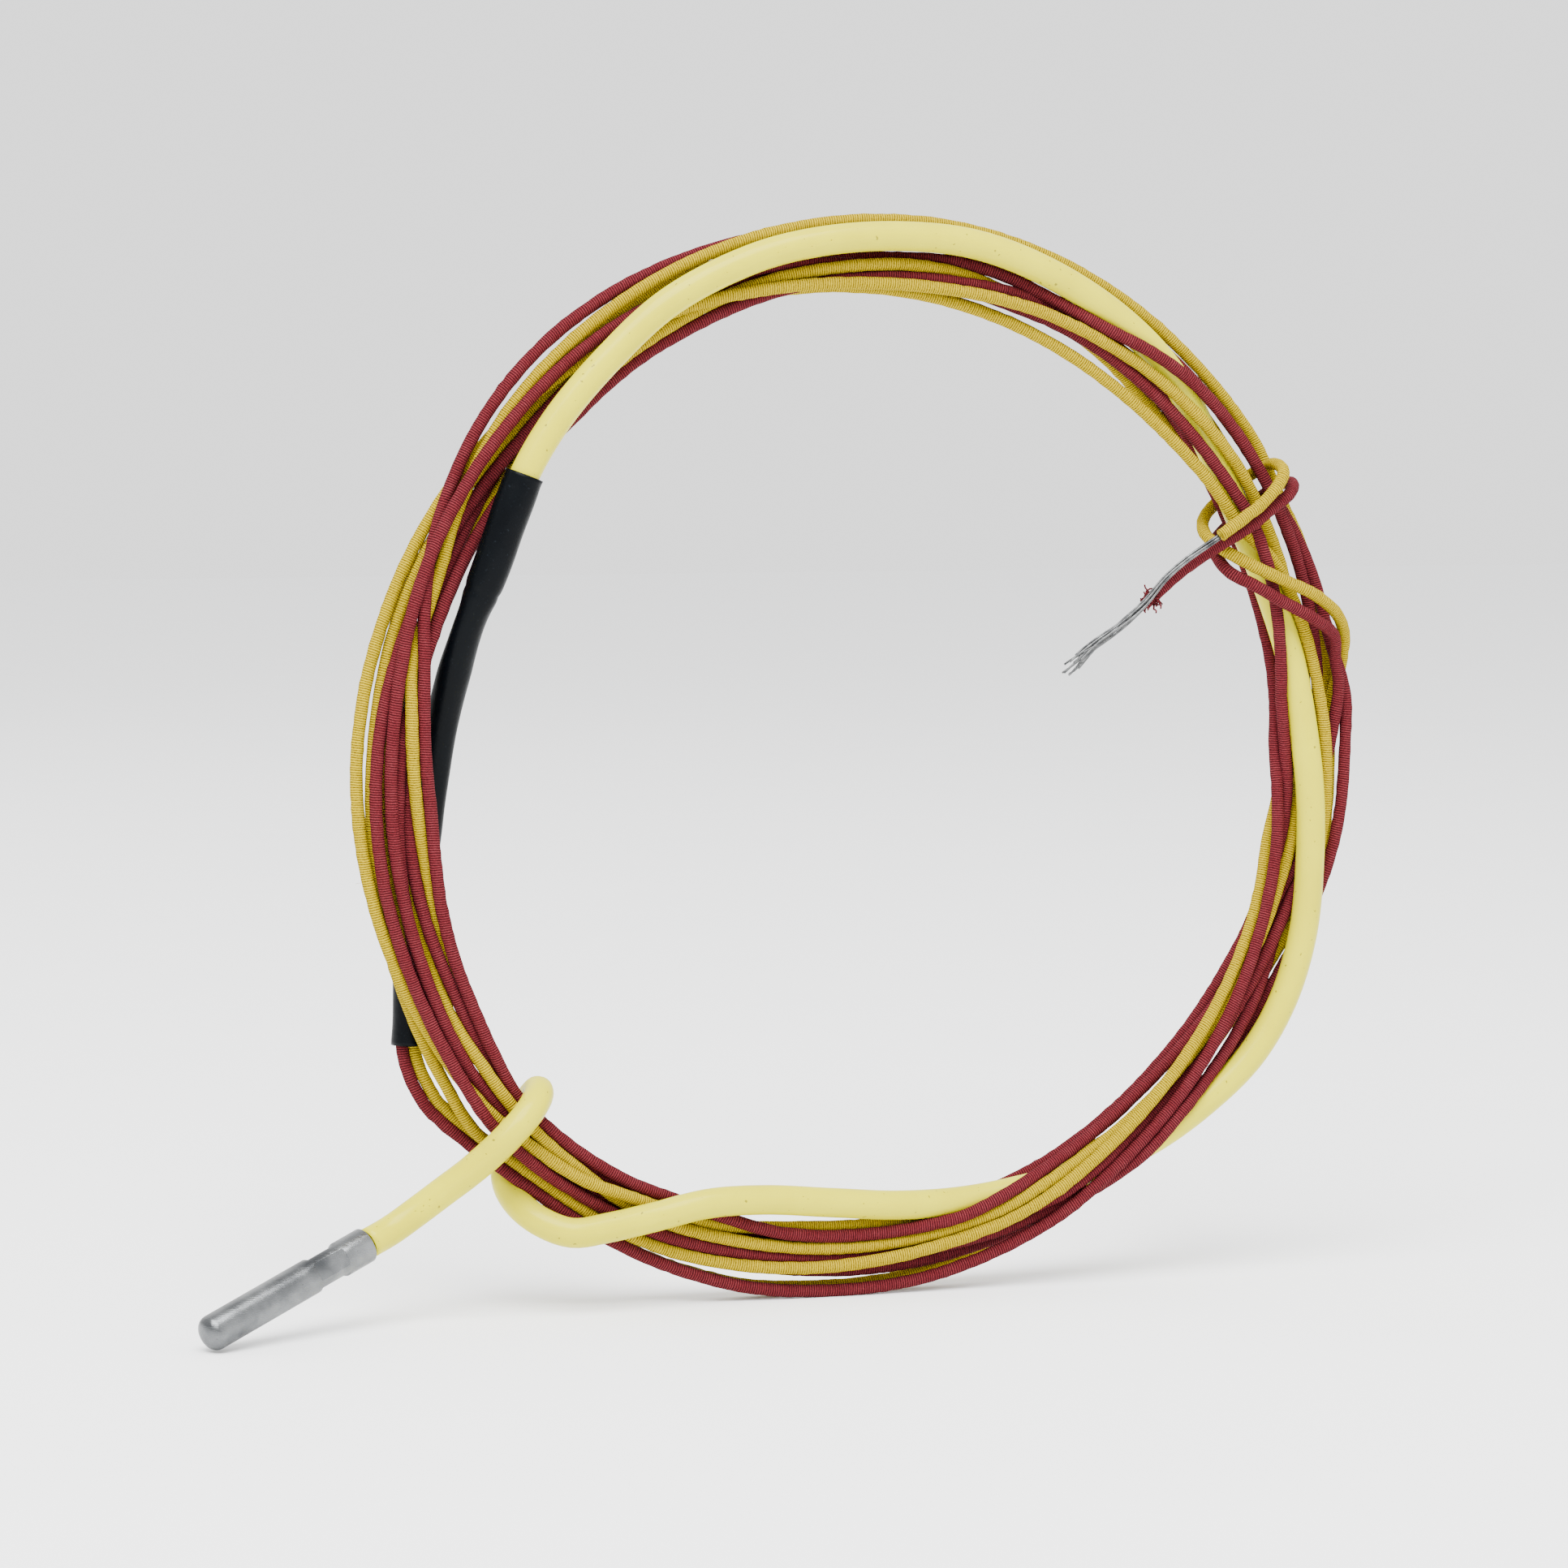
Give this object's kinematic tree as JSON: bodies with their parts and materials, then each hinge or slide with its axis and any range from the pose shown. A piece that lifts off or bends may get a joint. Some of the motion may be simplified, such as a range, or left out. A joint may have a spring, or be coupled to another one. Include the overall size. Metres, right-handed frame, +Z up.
{
  "type": "thermocouple",
  "caption": "Coiled thermocouple lead with a crimped steel probe, sleeving, a heat-shrink joint cover, two textile-covered leads and bare stranded ends.",
  "frame": {"origin": "under the top of the coil, on the coil's mid-plane, where a hook or a thread holds it up", "axes": "+Z up; Y is the coil's axis, with -Y its front, the side that the sleeving lies on; X runs across the coil and the probe is on the -X side"},
  "size_m": [0.1731, 0.0243, 0.1534],
  "materials": {
    "sheath_steel": "drawn stainless tube, satin, with bright pressed corners at the crimp",
    "thermo_alloy": "bare nickel-alloy wire, slightly dull",
    "insulator_ceramic": "unglazed alumina",
    "tip_cement": "ceramic cement, matt",
    "lemon_sleeving": "pale lemon coated sleeving, semi-gloss",
    "black_shrink": "blue-black heat-shrink with a soft sheen",
    "yellow_textile": "mustard textile covering, fine cross ribs, slightly fuzzy",
    "red_textile": "burgundy textile covering, fine cross ribs with light flecks"
  },
  "bodies": {
    "root": {"probe_sheath": "sheath_steel", "twin_bore_insulator": "insulator_ceramic", "positive_element": "thermo_alloy", "negative_element": "thermo_alloy", "junction_bead": "thermo_alloy", "tip_filler": "tip_cement", "sleeving": "lemon_sleeving", "yellow_lead_in_sleeving": "yellow_textile", "red_lead_in_sleeving": "red_textile", "heat_shrink": "black_shrink", "yellow_lead_start": "yellow_textile", "red_lead_start": "red_textile", "lead_coil": "yellow_textile", "yellow_lead_tail": "yellow_textile", "red_lead_tail": "red_textile", "yellow_strand_1": "thermo_alloy", "yellow_strand_2": "thermo_alloy", "yellow_strand_3": "thermo_alloy", "yellow_strand_4": "thermo_alloy", "yellow_strand_5": "thermo_alloy", "yellow_strand_6": "thermo_alloy", "yellow_strand_7": "thermo_alloy", "red_strand_1": "thermo_alloy", "red_strand_2": "thermo_alloy", "red_strand_3": "thermo_alloy", "red_strand_4": "thermo_alloy", "red_strand_5": "thermo_alloy", "red_strand_6": "thermo_alloy", "red_strand_7": "thermo_alloy"}
  },
  "joints": []
}
